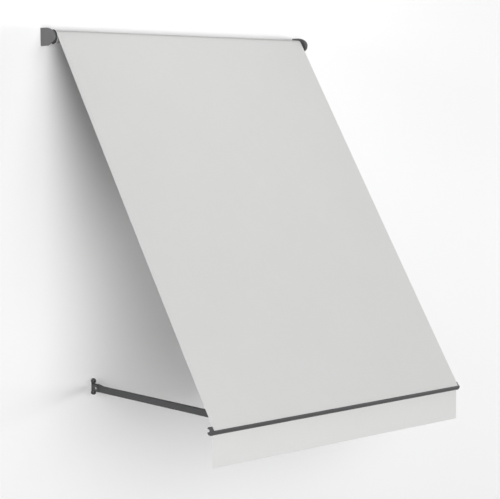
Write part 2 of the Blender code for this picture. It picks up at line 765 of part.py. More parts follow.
def arm_spigot(name, middle, start, end):
    """The end of a casting that fits inside the arm tube."""
    return prism(name, "OUT", arm_rectangle(middle, ARM_WALL + TOUCH, 0.0), start, end)


def arm_knuckle(label, middle, carrier):
    """Casting with a hub on the hinge pin, a block flush with the tube and a spigot inside it."""
    low, high = arm_levels()
    hub = hub_outline(ARM_PIVOT_OUT, KNUCKLE_RADIUS, KNUCKLE_SHOULDER, low, high, 1)
    half = KNUCKLE_WIDTH / 2
    body = prism(f"{label}_arm_knuckle", "X", hub, middle - half, middle + half)
    block = arm_rectangle(middle, 0.0, ARM_CORNER)
    block_end = ARM_PIVOT_OUT + KNUCKLE_END
    join(body, prism(f"{label}_knuckle_block", "OUT", block, ARM_PIVOT_OUT + KNUCKLE_SHOULDER - BITE, block_end))
    join(body, arm_spigot(f"{label}_knuckle_spigot", middle, block_end - BITE, block_end + KNUCKLE_SPIGOT))
    cut(body, pivot_bore(f"{label}_knuckle_bore", middle, ARM_PIVOT_OUT))
    cut(body, *screw_bores(f"{label}_knuckle_screw", middle, arm_screw_outs()[:2]))
    return finish(body, "grey_coat", carrier)


def arm_tube(label, middle, carrier):
    """Rectangular tube from the knuckle to the fork."""
    start = ARM_PIVOT_OUT + KNUCKLE_END + TOUCH
    end = FRONT_PIVOT_OUT - FORK_END - TOUCH
    outer = arm_rectangle(middle, 0.0, ARM_CORNER)
    inner = arm_rectangle(middle, ARM_WALL, ARM_CORNER / 4)
    body = prism(f"{label}_arm_tube", "OUT", outer, start, end, holes=[inner])
    cut(body, *screw_bores(f"{label}_tube_screw", middle, arm_screw_outs()))
    return finish(body, "grey_coat", carrier)


def arm_fork(label, middle, carrier):
    """Fork that straddles the slide block's tongue, with a spigot in the tube."""
    low, high = arm_levels()
    outline = hub_outline(FRONT_PIVOT_OUT, FORK_RADIUS, FORK_SHOULDER, low, high, -1)
    body = prism(f"{label}_arm_fork", "X", outline, middle - ARM_WIDTH / 2, middle + ARM_WIDTH / 2)
    block_end = FRONT_PIVOT_OUT - FORK_END
    block_start = FRONT_PIVOT_OUT - FORK_SHOULDER + BITE
    block = arm_rectangle(middle, 0.0, ARM_CORNER)
    join(body, prism(f"{label}_fork_block", "OUT", block, block_end, block_start))
    join(body, arm_spigot(f"{label}_fork_spigot", middle, block_end - FORK_SPIGOT, block_end + BITE))
    gap_half = TONGUE_WIDTH / 2 + TOUCH
    throat = rectangle(middle - gap_half, middle + gap_half, low - LONG_OVERRUN, high + LONG_OVERRUN)
    throat_end = FRONT_PIVOT_OUT + FORK_RADIUS + OVERRUN
    cut(body, prism(f"{label}_throat", "OUT", throat, FRONT_PIVOT_OUT - FORK_THROAT, throat_end))
    cut(body, pivot_bore(f"{label}_fork_bore", middle, FRONT_PIVOT_OUT))
    cut(body, *screw_bores(f"{label}_fork_screw", middle, arm_screw_outs()[2:]))
    return finish(body, "grey_coat", carrier)


def arm_screws(label, middle, carrier):
    """Pan-head screws that come up into the tube from below."""
    profile = [
        (0.0, SCREW_GRIP),
        (SCREW_RADIUS, SCREW_GRIP),
        (SCREW_RADIUS, 0.0),
        (SCREW_HEAD_RADIUS, 0.0),
        (SCREW_HEAD_RADIUS - SCREW_HEAD_TAPER, -SCREW_HEAD),
        (0.0, -SCREW_HEAD),
    ]
    for number, out in enumerate(arm_screw_outs(), 1):
        screw = turned(f"{label}_arm_screw_{number}", "Z", profile, (middle, -out, screw_seat()), 16)
        finish(screw, "zinc", carrier)


def bar(back, rise):
    """A point of the front bar's section, from the cloth's entry back towards the wall."""
    return (ENTRY_OUT - back, ENTRY_Z + rise)


def bar_nose(grow):
    """The round front of the bar, from its belly up to the lip in front of the cloth."""
    radius = BAR_NOSE_RADIUS + grow
    lip_deg = math.degrees(math.asin((LIP_RISE + grow + BAR_NOSE_DROP) / radius))
    return arc(bar(BAR_NOSE_BACK, -BAR_NOSE_DROP), radius, BAR_NOSE_FOOT_DEG, lip_deg, 14)


def bar_outline():
    """Outside of the front bar: round nose, a lip in front of the cloth, and a cranked back."""
    nose = bar_nose(0.0)
    behind = (CLOTH_SLOT_HALF + BAR_WALL / 2) / CLOTH_NORMAL.x
    heel = LIP_RISE + LIP_STEP
    rear = [
        (*bar(behind + heel * CLOTH_LEAN, heel), 0.0),
        (*bar(behind + BAR_TOP * CLOTH_LEAN, BAR_TOP), BAR_TOP_FILLET),
        (*bar(BAR_SHOULDER_BACK, BAR_SHOULDER_TOP), BAR_FILLET),
        (*bar(BAR_DEPTH, BAR_REAR_TOP), BAR_REAR_FILLET),
        (*bar(BAR_DEPTH, BAR_REAR_BOTTOM), BAR_FILLET),
        (*bar(BAR_HEEL_BACK, BAR_HEEL_BOTTOM), BAR_FILLET),
        (*bar(BAR_BELLY_BACK, BAR_BELLY_BOTTOM), 0.0),
    ]
    return filleted([(u, v, 0.0) for u, v in nose] + rear, 3)


def channel_outline():
    """The T-channel in the bar's back, with its mouth."""
    lip = BAR_DEPTH - CHANNEL_LIP
    past = BAR_DEPTH + OVERRUN
    corners = [
        (CHANNEL_FRONT, CHANNEL_TOP),
        (BAR_SHOULDER_BACK - BAR_WALL / 2, BAR_SHOULDER_TOP - BAR_WALL),
        (lip, BAR_SHOULDER_TOP - 2 * BAR_WALL),
        (lip, MOUTH_TOP),
        (past, MOUTH_TOP),
        (past, MOUTH_BOTTOM),
        (lip, MOUTH_BOTTOM),
        (lip, BAR_REAR_BOTTOM + BAR_WALL / 4),
        (BAR_HEEL_BACK - BAR_WALL / 2, BAR_HEEL_BOTTOM + 1.5 * BAR_WALL),
        (BAR_BELLY_BACK, BAR_BELLY_BOTTOM + BAR_WALL),
        (CHANNEL_FRONT, BAR_BELLY_BOTTOM + 1.5 * BAR_WALL),
    ]
    return [bar(back, rise) for back, rise in corners]


def chamber_outline(clearance):
    """The closed chamber behind the cloth slot, with a clearance for the end cap's spigot."""
    back = CHANNEL_FRONT - BAR_WALL
    corners = [
        (CHAMBER_FRONT, CHAMBER_KNEE),
        (CHAMBER_FRONT + (CHAMBER_TOP - CHAMBER_KNEE) * CLOTH_LEAN, CHAMBER_TOP),
        (back, CHAMBER_TOP),
        (back, CHAMBER_BOTTOM),
        (CHAMBER_FRONT + CHAMBER_CHAMFER, CHAMBER_BOTTOM),
        (CHAMBER_FRONT, CHAMBER_BOTTOM + CHAMBER_CHAMFER),
    ]
    return inset([bar(*corner) for corner in corners], clearance)


def front_bar(carrier):
    """The extruded bar: two keder slots, a chamber and the channel for the slide blocks."""
    body = prism("front_bar", "X", bar_outline(), -CLOTH_EDGE, CLOTH_EDGE)
    low, high = -CLOTH_EDGE - OVERRUN, CLOTH_EDGE + OVERRUN
    side = CLOTH_NORMAL * CLOTH_SLOT_HALF
    top = ENTRY - CLOTH_DOWN * CLOTH_SLOT_REACH
    bottom = ENTRY + CLOTH_DOWN * BAR_KEDER_DOWN
    slot = [tuple(point) for point in (top - side, bottom - side, bottom + side, top + side)]
    valance_pocket = bar(VALANCE_BACK, -VALANCE_KEDER_DROP)
    out, level = valance_pocket
    drop = rectangle(out - CLOTH_SLOT_HALF, out + CLOTH_SLOT_HALF, ENTRY_Z - LONG_OVERRUN, level)
    cut(
        body,
        prism("bar_channel", "X", channel_outline(), low, high),
        prism("bar_chamber", "X", chamber_outline(0.0), low, high),
        prism("bar_cloth_slot", "X", slot, low, high),
        prism("bar_cloth_pocket", "X", circle(bar_keder_centre(), BAR_KEDER_RADIUS + TOUCH, 16), low, high),
        prism("bar_valance_slot", "X", drop, low, high),
        prism("bar_valance_pocket", "X", circle(valance_pocket, VALANCE_KEDER_RADIUS + TOUCH, 16), low, high),
    )
    return finish(body, "grey_coat", carrier)


def bar_keder_centre():
    """The cover's lower welt lies behind its tail, which runs on straight from the cloth."""
    return tuple(ENTRY + CLOTH_DOWN * BAR_KEDER_DOWN - CLOTH_NORMAL * (BAR_KEDER_RADIUS - BAR_KEDER_BITE))


def bar_keder(carrier):
    """Lower welt of the cover with its tail."""
    body = prism("bar_keder", "X", circle(bar_keder_centre(), BAR_KEDER_RADIUS, 14), -CLOTH_EDGE, CLOTH_EDGE)
    half = CLOTH_NORMAL * CLOTH_THICKNESS / 2
    end = ENTRY + CLOTH_DOWN * BAR_KEDER_DOWN
    outline = [tuple(point) for point in (ENTRY - half, end - half, end + half, ENTRY + half)]
    join(body, prism("bar_keder_tail", "X", outline, -CLOTH_EDGE, CLOTH_EDGE))
    return finish(body, "keder", carrier)


def valance_keder(carrier):
    """Welt that holds the valance in the bar's underside."""
    centre = bar(VALANCE_BACK, -VALANCE_KEDER_DROP)
    body = prism("valance_keder", "X", circle(centre, VALANCE_KEDER_RADIUS, 14), -CLOTH_EDGE, CLOTH_EDGE)
    half = CLOTH_THICKNESS / 2
    tail = rectangle(centre[0] - half, centre[0] + half, ENTRY_Z + BAR_BELLY_BOTTOM, centre[1])
    join(body, prism("valance_keder_tail", "X", tail, -CLOTH_EDGE, CLOTH_EDGE))
    return finish(body, "keder", carrier)


def valance(carrier):
    """The hanging strip, with a turned hem at its foot."""
    middle = ENTRY_OUT - VALANCE_BACK
    half = CLOTH_THICKNESS / 2
    top = ENTRY_Z + BAR_BELLY_BOTTOM - TOUCH
    foot = ENTRY_Z + VALANCE_BOTTOM
    hem = foot + VALANCE_HEM
    hem_back = middle - 3 * half
    outline = [
        (middle + half, top),
        (middle - half, top),
        (middle - half, hem),
        (hem_back, hem),
        (hem_back, foot),
        (middle + half, foot),
    ]
    return finish(prism("valance", "X", outline, -CLOTH_EDGE, CLOTH_EDGE), "cloth", carrier)


def end_cap_outline():
    """Outside of an end cap: the bar's own section closed over the cloth slot, open at the back."""
    grow = END_CAP_PROUD
    nose = bar_nose(grow)
    ahead = CLOTH_SLOT_HALF / CLOTH_NORMAL.x
    lip = LIP_RISE + grow
    top = BAR_TOP + grow
    rear = [
        (*bar(lip * CLOTH_LEAN - ahead, lip), 0.0),
        (*bar(top * CLOTH_LEAN - ahead, top), BAR_TOP_FILLET),
        (*bar(BAR_SHOULDER_BACK, BAR_SHOULDER_TOP + grow), BAR_FILLET),
        (*bar(BAR_DEPTH + grow, BAR_REAR_TOP + grow), BAR_REAR_FILLET),
        (*bar(BAR_DEPTH + grow, MOUTH_TOP + grow), 0.0),
        (*bar(BAR_DEPTH - NOTCH_WAIST, NOTCH_TOP), NOTCH_FILLET),
        (*bar(BAR_DEPTH - NOTCH_DEPTH, NOTCH_MIDDLE), NOTCH_FILLET),
        (*bar(BAR_DEPTH - NOTCH_WAIST, NOTCH_BOTTOM), NOTCH_FILLET),
        (*bar(BAR_DEPTH + grow, MOUTH_BOTTOM - grow), 0.0),
        (*bar(BAR_DEPTH + grow, BAR_REAR_BOTTOM), BAR_FILLET),
        (*bar(BAR_HEEL_BACK, BAR_HEEL_BOTTOM - grow), BAR_FILLET),
        (*bar(BAR_BELLY_BACK, BAR_BELLY_BOTTOM - grow), 0.0),
    ]
    return filleted([(u, v, 0.0) for u, v in nose] + rear, 3)


def end_cap(label, side, carrier):
    """Cap over the bar's end, with a spigot in its chamber."""
    inner = CLOTH_EDGE + TOUCH
    cap_x = x_span(side, inner, inner + END_CAP_THICKNESS)
    body = prism(f"{label}_end_cap", "X", end_cap_outline(), *cap_x, edge=END_CAP_EDGE)
    spigot_x = x_span(side, inner - END_CAP_SPIGOT, inner + END_CAP_THICKNESS / 2)
    join(body, prism(f"{label}_cap_spigot", "X", chamber_outline(TOUCH), *spigot_x))
    return finish(body, "grey_coat", carrier)


def block_outline():
    """Section of a slide block's body: it bears on the channel's lips."""
    face = BAR_DEPTH - CHANNEL_LIP - TOUCH
    start = face - BLOCK_DEPTH
    top = MOUTH_TOP + BLOCK_OVERLAP
    bottom = MOUTH_BOTTOM - BLOCK_OVERLAP
    return [bar(start, top), bar(start, bottom), bar(face, bottom), bar(face, top)]


def tongue_outline():
    """Neck through the channel's mouth and a round tongue at the pivot."""
    start = BAR_DEPTH - CHANNEL_LIP - BLOCK_DEPTH / 2
    neck = BAR_DEPTH + NECK_LENGTH / 2
    nose = arc((FRONT_PIVOT_OUT, PIVOT_Z), TONGUE_RADIUS, TONGUE_FOOT_DEG, TONGUE_FOOT_DEG - 180.0, 12)
    neck_top = MOUTH_TOP - 2 * TOUCH
    neck_bottom = MOUTH_BOTTOM + 2 * TOUCH
    front = [bar(neck, neck_top), bar(start, neck_top), bar(start, neck_bottom), bar(neck, neck_bottom)]
    return [*front, *nose]


def slide_block(label, side, carrier):
    """Block clamped in the bar's channel, with the tongue that the arm's fork straddles."""
    middle = side * ARM_X
    half = BLOCK_LENGTH / 2
    body = prism(f"{label}_slide_block", "X", block_outline(), middle - half, middle + half)
    tongue_half = TONGUE_WIDTH / 2
    join(body, prism(f"{label}_tongue", "X", tongue_outline(), middle - tongue_half, middle + tongue_half))
    cut(body, pivot_bore(f"{label}_tongue_bore", middle, FRONT_PIVOT_OUT))
    for place in clamp_places(middle):
        cut(body, clamp_bore(f"{label}_clamp_bore", place))
    return finish(body, "mill_aluminium", carrier)


def clamp_bore(name, place):
    """Cutter for a clamp screw's hole."""
    return rod(name, "OUT", CLAMP_RADIUS + TOUCH, -LONG_OVERRUN, LONG_OVERRUN, place, 16)


def clamp_places(middle):
    """Where the two clamp screws of a slide block stand."""
    level = ENTRY_Z + (MOUTH_TOP + MOUTH_BOTTOM) / 2
    return [(middle + step * CLAMP_OFFSET, -(ENTRY_OUT - BAR_DEPTH), level) for step in (-1, 1)]


def clamp_screws(label, side, carrier):
    """Two socket screws that press a slide block against the channel's lips."""
    seat = CHANNEL_LIP
    tip = BAR_DEPTH - CHANNEL_FRONT - TOUCH
    crown_end = seat - CLAMP_HEAD
    profile = [
        (0.0, tip),
        (CLAMP_RADIUS, tip),
        (CLAMP_RADIUS, seat),
        (CLAMP_HEAD_RADIUS, seat),
        (CLAMP_HEAD_RADIUS, crown_end),
        (CLAMP_SOCKET_RADIUS, crown_end),
        (CLAMP_SOCKET_RADIUS, crown_end + CLAMP_SOCKET_DEPTH),
        (0.0, crown_end + CLAMP_SOCKET_DEPTH),
    ]
    for number, place in enumerate(clamp_places(side * ARM_X), 1):
        finish(turned(f"{label}_clamp_screw_{number}", "OUT", profile, place, 16), "zinc", carrier)


def build():
    """Make every piece of the awning."""
    roller_axis = joint_empty("roller_axis", (0.0, -ROLLER_OUT, 0.0))
    arm_axes = {}
    for label, side in SIDES.items():
        arm_axes[label] = joint_empty(f"{label}_arm_axis", (side * ARM_X, -ARM_PIVOT_OUT, PIVOT_Z))
    bar_place = (-ARM_X, -FRONT_PIVOT_OUT, PIVOT_Z)
    bar_axis = joint_empty("front_bar_axis", bar_place, arm_axes["left"])

    roller_tube(roller_axis)
    roller_keder(roller_axis)
    cloth_roll(roller_axis)
    motor_start = -(TUBE_END + TOUCH)
    crown("limit_crown", motor_start + TOUCH, motor_start + TOUCH + CROWN_WIDTH, MOTOR_RADIUS + TOUCH, roller_axis)
    drive_low = motor_start + MOTOR_LENGTH + TOUCH
    crown("drive_crown", drive_low, drive_low + CROWN_WIDTH, MOTOR_SHAFT_RADIUS + TOUCH, roller_axis)
    idler(roller_axis)
    tube_motor()
    motor_head()
    idler_bush()
    cloth_panel()

    for label, side in SIDES.items():
        middle = side * ARM_X
        axis = arm_axes[label]
        end_bracket(label, side)
        wall_hinge(label, side)
        pivot_pin(f"{label}_hinge_pin", middle, ARM_PIVOT_OUT, KNUCKLE_WIDTH / 2 + TOUCH + LUG_THICKNESS, None)
        arm_knuckle(label, middle, axis)
        arm_tube(label, middle, axis)
        arm_fork(label, middle, axis)
        pivot_pin(f"{label}_front_pin", middle, FRONT_PIVOT_OUT, ARM_WIDTH / 2, axis)
        arm_screws(label, middle, axis)
        slide_block(label, side, bar_axis)
        clamp_screws(label, side, bar_axis)
        end_cap(label, side, bar_axis)

    front_bar(bar_axis)
    bar_keder(bar_axis)
    valance_keder(bar_axis)
    valance(bar_axis)


build()
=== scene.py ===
import json
import math

import bmesh
import bpy
from bpy.props import FloatProperty, FloatVectorProperty, PointerProperty
from mathutils import Matrix, Vector


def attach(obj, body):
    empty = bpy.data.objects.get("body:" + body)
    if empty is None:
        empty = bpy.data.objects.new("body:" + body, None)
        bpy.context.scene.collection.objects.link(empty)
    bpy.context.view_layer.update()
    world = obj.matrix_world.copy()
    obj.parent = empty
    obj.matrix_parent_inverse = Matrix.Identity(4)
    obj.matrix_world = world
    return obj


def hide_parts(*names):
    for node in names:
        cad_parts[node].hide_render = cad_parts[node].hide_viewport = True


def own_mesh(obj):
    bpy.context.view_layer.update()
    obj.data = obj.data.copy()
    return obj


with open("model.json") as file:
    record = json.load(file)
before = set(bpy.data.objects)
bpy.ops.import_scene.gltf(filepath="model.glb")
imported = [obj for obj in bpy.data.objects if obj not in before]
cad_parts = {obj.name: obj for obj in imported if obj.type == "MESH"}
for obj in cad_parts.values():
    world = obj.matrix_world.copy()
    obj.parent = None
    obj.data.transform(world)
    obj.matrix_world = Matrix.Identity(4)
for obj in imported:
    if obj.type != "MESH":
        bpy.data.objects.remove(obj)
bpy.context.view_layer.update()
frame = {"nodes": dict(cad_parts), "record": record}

bl_info = {
    "name": "Fabric Awning Finishes",
    "version": (1, 0, 0),
    "blender": (4, 5, 0),
    "location": "View3D > Sidebar > Awning",
    "description": "Cloth, finishes, light and camera for a drop-arm window awning",
    "category": "Object",
}

# Sizes are in metres. +Z is up, the front faces -Y, and the wall is the plane Y = 0.

# The roll: its axis, the radius at which the cover leaves it, the thickness of a turn, and its turns of cloth
ROLL_CENTRE = Vector((0.0, -0.076, 0.0))
WRAP_RADIUS = 0.03385
ROLL_PITCH = 0.0009
ROLL_TURNS = 2.5

# The dark discs at the roll's ends, painted shade for the shadow there: radii, thickness, rounding of the
# rim, gap to the cloth's edge, and facets
SHADE_DISC_INNER = 0.0313
SHADE_DISC_OUTER = 0.0385
SHADE_DISC_THICK = 0.002
SHADE_DISC_EDGE = 0.0006
SHADE_DISC_GAP = 0.0022
SHADE_DISC_STEPS = 64

# The front bar's slots, where the cover goes in and the valance comes out, and the height of its foot
COVER_SLOT = Vector((0.0, -1.3817, -1.927))
VALANCE_SLOT = Vector((0.0, -1.3677, -1.9528))
VALANCE_FOOT = -2.112

# The cover runs straight from its tangent point on the roll to the slot of the front bar
REACH = COVER_SLOT - ROLL_CENTRE
LEAVE_ANGLE = math.atan2(REACH.z, -REACH.y) + math.acos(WRAP_RADIUS / REACH.length)
NORMAL = Vector((0.0, -math.cos(LEAVE_ANGLE), math.sin(LEAVE_ANGLE)))
DOWN = Vector((0.0, -math.sin(LEAVE_ANGLE), -math.cos(LEAVE_ANGLE)))
LEAVE = ROLL_CENTRE + NORMAL * WRAP_RADIUS
COVER_LENGTH = (COVER_SLOT - LEAVE).dot(DOWN)

# The layers of a hem lie this many thicknesses apart, and its seam this share of the hem in from the fold
LAYER_GAP = 1.05
SEAM_SHARE = 0.8
# The stitches pull a seam in this deep, over this width to each side
SEAM_DEPTH = 0.00012
SEAM_WIDTH = 0.0015
# The share of the sag that the tight hems take away at the sides
HEM_HOLD = 0.88

# A stitch: its radius, its sides, and along its outline the place and the thickness, as shares
STITCH_RADIUS = 0.00032
STITCH_SIDES = 6
STITCH_OUTLINE = ((-0.42, 0.35), (-0.22, 1.0), (0.22, 1.0), (0.42, 0.35))

# The valance's waves: radians a metre, where each starts, and its share. They grow towards the foot.
WAVES = ((5.3, 0.7, 0.6), (11.9, 2.1, 0.4))
WAVE_GROWTH = 1.5

# The camera, found from the awning's edges in the photograph: its place, and how far it turns from facing
# the wall squarely, to the right and down
CAMERA_PLACE = (-5.598, -6.847, -0.389)
CAMERA_TURN = math.radians(42.048)
CAMERA_DIP = math.radians(5.2384)

# Where the lamps aim
AWNING_MIDDLE = Vector((0.0, -0.3, -1.0))


def linear(text):
    """An sRGB hex colour as linear red, green and blue."""
    parts = [int(text[place:place + 2], 16) / 255 for place in (1, 3, 5)]
    return tuple(part / 12.92 if part <= 0.04045 else ((part + 0.055) / 1.055) ** 2.4 for part in parts)


class ClothValues(bpy.types.PropertyGroup):
    """Sizes and colour of the awning cloth."""

    width: FloatProperty(
        name="Finished width", description="Width of the cover between its folded edges",
        default=1.8, min=0.2, unit="LENGTH")
    thickness: FloatProperty(
        name="Cloth thickness", description="Thickness of one layer",
        default=0.0005, min=0.0001, unit="LENGTH")
    hem: FloatProperty(
        name="Side hem", description="Width of the fold under each side edge",
        default=0.025, min=0.0, unit="LENGTH")
    foot_hem: FloatProperty(
        name="Foot hem", description="Height of the fold at the valance's foot",
        default=0.014, min=0.0, unit="LENGTH")
    sag: FloatProperty(
        name="Sag", description="How far the middle of the cover hangs below a flat sheet",
        default=0.022, min=0.0, unit="LENGTH")
    wave: FloatProperty(
        name="Valance wave", description="How far the valance's foot waves to and fro",
        default=0.0015, min=0.0, unit="LENGTH")
    rib: FloatProperty(
        name="Rib spacing", description="Distance from one rib of the weave to the next",
        default=0.005655, min=0.001, unit="LENGTH")
    stitch: FloatProperty(
        name="Stitch length", description="Distance from one stitch to the next",
        default=0.0045, min=0.001, unit="LENGTH")
    colour: FloatVectorProperty(
        name="Cloth colour", description="Dyed colour of the threads",
        default=linear("#D6D6D5"), subtype="COLOR", min=0.0, max=1.0)


class CoatValues(bpy.types.PropertyGroup):
    """Colours of the metal and plastic parts."""

    coat: FloatVectorProperty(
        name="Powder coat", description="Colour of the arms, hinges and front bar",
        default=linear("#414142"), subtype="COLOR", min=0.0, max=1.0)
    bracket: FloatVectorProperty(
        name="Bracket coat", description="Colour of the end brackets",
        default=linear("#69696A"), subtype="COLOR", min=0.0, max=1.0)
    grain: FloatProperty(
        name="Coat grain", description="Size of the coat's fine texture",
        default=0.0012, min=0.0002, unit="LENGTH")
    plastic: FloatVectorProperty(
        name="Moulded plastic", description="Colour of the moulded parts",
        default=linear("#3A3A3B"), subtype="COLOR", min=0.0, max=1.0)


class StageValues(bpy.types.PropertyGroup):
    """Backdrop, light and lens."""

    wall: FloatVectorProperty(
        name="Wall colour", description="Colour of the wall and floor",
        default=linear("#FEFEFE"), subtype="COLOR", min=0.0, max=1.0)
    sky: FloatProperty(
        name="Surrounding light", description="Strength of the even light from all round",
        default=0.0, min=0.0)
    key: FloatProperty(
        name="Key light", description="Power of the large soft lamp, in front and a little to the left",
        default=1060.0, min=0.0, unit="POWER")
    right: FloatProperty(
        name="Right light", description="Power of the soft lamp on the right",
        default=760.0, min=0.0, unit="POWER")
    left: FloatProperty(
        name="Left light", description="Power of the soft lamp on the left",
        default=1020.0, min=0.0, unit="POWER")
    high: FloatProperty(
        name="High light", description="Power of the soft lamp overhead",
        default=42.0, min=0.0, unit="POWER")
    low: FloatProperty(
        name="Low light", description="Power of the soft lamp below",
        default=98.0, min=0.0, unit="POWER")
    bounce: FloatProperty(
        name="Wall bounce", description="Share of light that the wall throws back on the awning",
        default=0.12, min=0.0, max=1.0)
    lens: FloatProperty(
        name="Lens", description="Focal length of the camera, in millimetres",
        default=109.55, min=10.0)


def values():
    """The values that the panel shows."""
    scene = bpy.context.scene
    return scene.awning_cloth, scene.awning_coat, scene.awning_stage


def add(tree, kind, inputs=None, **settings):
    """Add a node with its settings. A socket given as an input is linked, any other value is set."""
    made = tree.nodes.new(kind)
    for name, value in settings.items():
        setattr(made, name, value)
    for key, value in (inputs or {}).items():
        if isinstance(value, bpy.types.NodeSocket):
            tree.links.new(value, made.inputs[key])
        else:
            made.inputs[key].default_value = value
    return made


def shader_of(name, colour, roughness, metallic=0.0):
    """A new material with its node tree, shader and colour."""
    material = bpy.data.materials.new(name)
    material.use_nodes = True
    tree = material.node_tree
    shader = tree.nodes["Principled BSDF"]
    shader.inputs["Base Color"].default_value = (*colour, 1.0)
    shader.inputs["Roughness"].default_value = roughness
    shader.inputs["Metallic"].default_value = metallic
    return material, tree, shader


def shade(colour, factor):
    """A colour made lighter or darker, with alpha."""
    return (*[min(part * factor, 1.0) for part in colour], 1.0)


def woven_acrylic(name, cloth):
    """Solution-dyed acrylic canvas, plain woven: matt, evenly coloured and close enough to stop the light."""
    material, tree, shader = shader_of(name, cloth.colour, 0.9)
    flat = add(tree, "ShaderNodeAttribute", attribute_name="flat_place")
    place = flat.outputs["Vector"]
    # Real canvas has a thread every 0.35 mm. Ribs of sixteen threads are drawn, so that they show.
    # A wave texture runs through 20 radians in each unit of its scaled space.
    ribs = {"Vector": place, "Scale": math.tau / 20 / cloth.rib, "Distortion": 0.4, "Detail Scale": 2.0}
    warp = add(tree, "ShaderNodeTexWave", ribs, bands_direction="X")
    weft = add(tree, "ShaderNodeTexWave", ribs, bands_direction="Y")
    weave = add(tree, "ShaderNodeMath", {0: warp.outputs["Fac"], 1: weft.outputs["Fac"]}, operation="MAXIMUM")
    # Slubs 2 mm wide: threads a little lighter or darker over 80 mm, both ways of the weave
    long_way = add(tree, "ShaderNodeMapping", {"Vector": place, "Scale": (500.0, 12.0, 1.0)})
    cross_way = add(tree, "ShaderNodeMapping", {"Vector": place, "Scale": (12.0, 500.0, 1.0)})
    slub_1 = add(tree, "ShaderNodeTexNoise", {"Vector": long_way.outputs["Vector"], "Scale": 1.0,
                                              "Detail": 2.0})
    slub_2 = add(tree, "ShaderNodeTexNoise", {"Vector": cross_way.outputs["Vector"], "Scale": 1.0,
                                              "Detail": 2.0})
    slubs = add(tree, "ShaderNodeMath", {0: slub_1.outputs["Fac"], 1: slub_2.outputs["Fac"]}, operation="ADD")
    # The dye is a little uneven over a third of a metre
    cloudy = add(tree, "ShaderNodeTexNoise", {"Vector": place, "Scale": 3.0, "Detail": 3.0})
    mixed = add(tree, "ShaderNodeMath", {0: cloudy.outputs["Fac"], 1: 0.6, 2: slubs.outputs["Value"]},
                operation="MULTIPLY_ADD")
    tone = add(tree, "ShaderNodeMapRange", {"Value": mixed.outputs["Value"], "From Min": 0.9,
                                            "From Max": 1.7})
    colour = add(tree, "ShaderNodeMix", {"Factor": tone.outputs["Result"], "A": shade(cloth.colour, 0.97),
                                         "B": shade(cloth.colour, 1.02)}, data_type="RGBA")
    bump = add(tree, "ShaderNodeBump", {"Height": weave.outputs["Value"], "Strength": 0.25,
                                        "Distance": 0.0001})
    tree.links.new(colour.outputs["Result"], shader.inputs["Base Color"])
    tree.links.new(bump.outputs["Normal"], shader.inputs["Normal"])
    shader.inputs["Sheen Weight"].default_value = 0.08
    shader.inputs["Sheen Roughness"].default_value = 0.5
    shader.inputs["Specular IOR Level"].default_value = 0.2
    return material


def powder_coat(name, base, coat):
    """Polyester powder coat on aluminium: nearly matt, with the fine orange peel of a baked finish."""
    material, tree, shader = shader_of(name, base, 0.59)
    shader.inputs["Specular IOR Level"].default_value = 0.38
    place = add(tree, "ShaderNodeTexCoord").outputs["Object"]
    peel = add(tree, "ShaderNodeTexNoise", {"Vector": place, "Scale": 1.0 / coat.grain, "Detail": 2.0})
    # Handling leaves patches about 110 mm across a little glossier
    patch = add(tree, "ShaderNodeTexNoise", {"Vector": place, "Scale": 9.0, "Detail": 4.0})
    rough = add(tree, "ShaderNodeMapRange", {"Value": patch.outputs["Fac"], "To Min": 0.52, "To Max": 0.66})
    colour = add(tree, "ShaderNodeMix", {"Factor": peel.outputs["Fac"], "A": shade(base, 0.94),
                                         "B": shade(base, 1.06)}, data_type="RGBA")
    bump = add(tree, "ShaderNodeBump", {"Height": peel.outputs["Fac"], "Strength": 0.25, "Distance": 0.00015})
    tree.links.new(rough.outputs["Result"], shader.inputs["Roughness"])
    tree.links.new(colour.outputs["Result"], shader.inputs["Base Color"])
    tree.links.new(bump.outputs["Normal"], shader.inputs["Normal"])
    return material


def plated_steel(name):
    """Zinc-plated steel: bright, with the soft spangle of a passivated surface."""
    base = linear("#BFC0C2")
    material, tree, shader = shader_of(name, base, 0.32, 1.0)
    place = add(tree, "ShaderNodeTexCoord").outputs["Object"]
    # The spangle is about 2 mm across
    spangle = add(tree, "ShaderNodeTexNoise", {"Vector": place, "Scale": 450.0, "Detail": 2.0})
    rough = add(tree, "ShaderNodeMapRange", {"Value": spangle.outputs["Fac"], "To Min": 0.26, "To Max": 0.42})
    colour = add(tree, "ShaderNodeMix", {"Factor": spangle.outputs["Fac"], "A": shade(base, 0.92),
                                         "B": shade(base, 1.05)}, data_type="RGBA")
    tree.links.new(rough.outputs["Result"], shader.inputs["Roughness"])
    tree.links.new(colour.outputs["Result"], shader.inputs["Base Color"])
    return material


def extruded_aluminium(name):
    """Mill-finish aluminium extrusion: die lines run along its length."""
    base = linear("#DCDDDF")
    material, tree, shader = shader_of(name, base, 0.38, 1.0)
    place = add(tree, "ShaderNodeTexCoord").outputs["Object"]
    # Die lines about 0.8 mm apart, each more than half a metre long along X
    along = add(tree, "ShaderNodeMapping", {"Vector": place, "Scale": (1.5, 1200.0, 1200.0)})
    lines = add(tree, "ShaderNodeTexNoise", {"Vector": along.outputs["Vector"], "Scale": 1.0, "Detail": 3.0})
    rough = add(tree, "ShaderNodeMapRange", {"Value": lines.outputs["Fac"], "To Min": 0.30, "To Max": 0.46})
    colour = add(tree, "ShaderNodeMix", {"Factor": lines.outputs["Fac"], "A": shade(base, 0.9),
                                         "B": shade(base, 1.02)}, data_type="RGBA")
    bump = add(tree, "ShaderNodeBump", {"Height": lines.outputs["Fac"], "Strength": 0.15,
                                        "Distance": 0.00005})
    tree.links.new(rough.outputs["Result"], shader.inputs["Roughness"])
    tree.links.new(colour.outputs["Result"], shader.inputs["Base Color"])
    tree.links.new(bump.outputs["Normal"], shader.inputs["Normal"])
    return material


